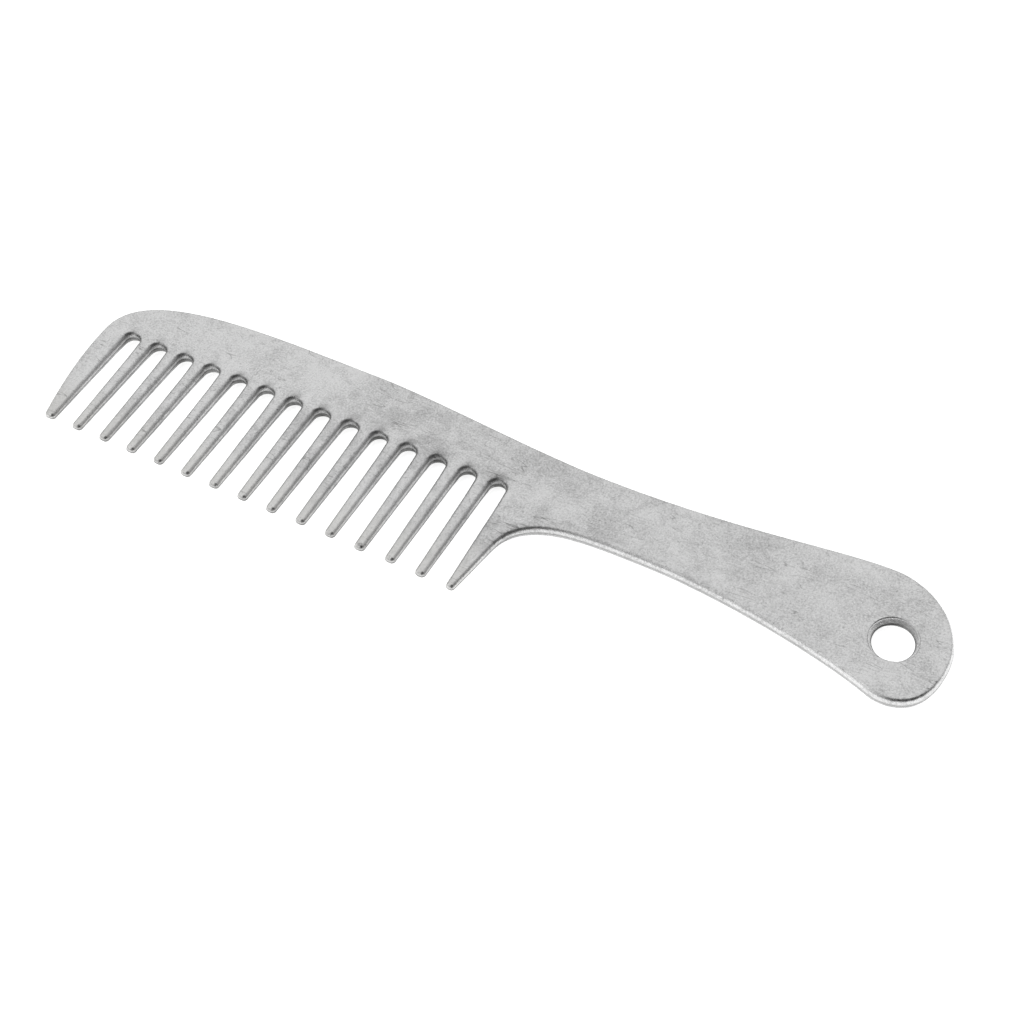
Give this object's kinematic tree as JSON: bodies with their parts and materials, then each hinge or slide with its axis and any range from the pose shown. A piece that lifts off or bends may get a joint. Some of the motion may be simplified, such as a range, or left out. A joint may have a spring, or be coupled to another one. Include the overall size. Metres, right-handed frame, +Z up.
{
  "type": "mane comb",
  "caption": "Flat cast mane comb with a row of long blunt tapered teeth, a curved spine, a waisted handle and a drafted hanging hole.",
  "frame": {"origin": "middle of the underside, where the comb lies flat on a surface", "axes": "+X along the comb from the toe tooth to the handle end, +Y from the tooth tips to the back of the spine, +Z up through the thickness"},
  "size_m": [0.2156, 0.0464, 0.0034],
  "materials": {
    "cast_aluminium": "satin grey as-cast skin, tumbled, with faint scratches and darker mottling"
  },
  "bodies": {
    "root": {"comb_casting": "cast_aluminium"}
  },
  "joints": []
}
